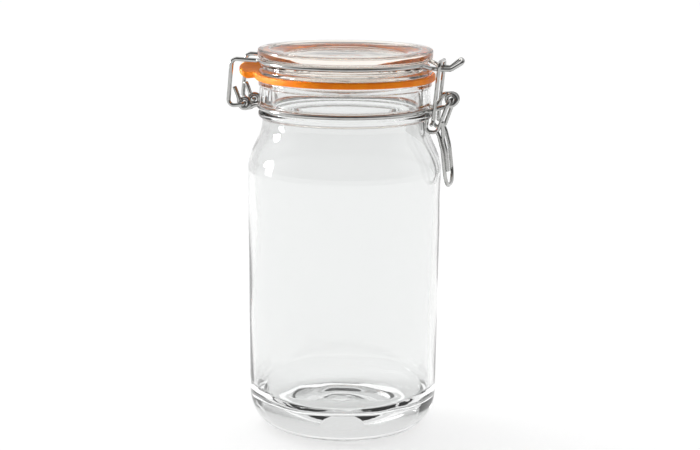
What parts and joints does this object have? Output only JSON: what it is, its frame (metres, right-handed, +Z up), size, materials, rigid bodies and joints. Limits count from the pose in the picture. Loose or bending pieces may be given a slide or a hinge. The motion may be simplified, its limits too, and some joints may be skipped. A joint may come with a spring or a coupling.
{
  "type": "clip-top glass storage jar",
  "caption": "Clear glass storage jar with a hinged glass lid, an orange rubber sealing ring with a pull tab, and a bent wire clip closure.",
  "frame": {"origin": "centre of the jar's foot, on the surface it stands on", "axes": "+Z up along the jar's axis, +X towards the latch, -X towards the lid's hinge"},
  "size_m": [0.1398, 0.115, 0.2277],
  "materials": {
    "clear_glass": "clear, fire-polished, faint grey-green in its thick edges",
    "lid_glass": "clear pressed glass, slightly wavy",
    "orange_rubber": "smooth satin orange rubber",
    "bright_wire": "bright drawn steel wire, fine marks at the bends"
  },
  "bodies": {
    "jar": {"jar_glass": "clear_glass", "neck_wire": "bright_wire"},
    "lid": {"lid_glass": "lid_glass", "seal_ring": "orange_rubber", "lid_wire": "bright_wire"},
    "stirrup": {"stirrup_wire": "bright_wire"},
    "lever": {"lever_wire": "bright_wire"}
  },
  "joints": [
    {"name": "lid_hinge", "type": "hinge", "parent": "jar", "child": "lid", "pos_m": [-0.0586, 0, 0.1942], "axis": [0, -1, 0], "range_deg": [0, 165]},
    {"name": "stirrup_swing", "type": "hinge", "parent": "lid", "child": "stirrup", "pos_m": [0.0578, 0, 0.222], "axis": [0, -1, 0], "range_deg": [0, 26]},
    {"name": "lever_pivot", "type": "hinge", "parent": "jar", "child": "lever", "pos_m": [0.0639, 0, 0.1997], "axis": [0, -1, 0], "range_deg": [0, 111]}
  ],
  "couplings": [
    {"joint": "stirrup_swing", "follows": "lid_hinge", "ratio": 0.15},
    {"joint": "lever_pivot", "follows": "lid_hinge", "ratio": 0.65}
  ]
}
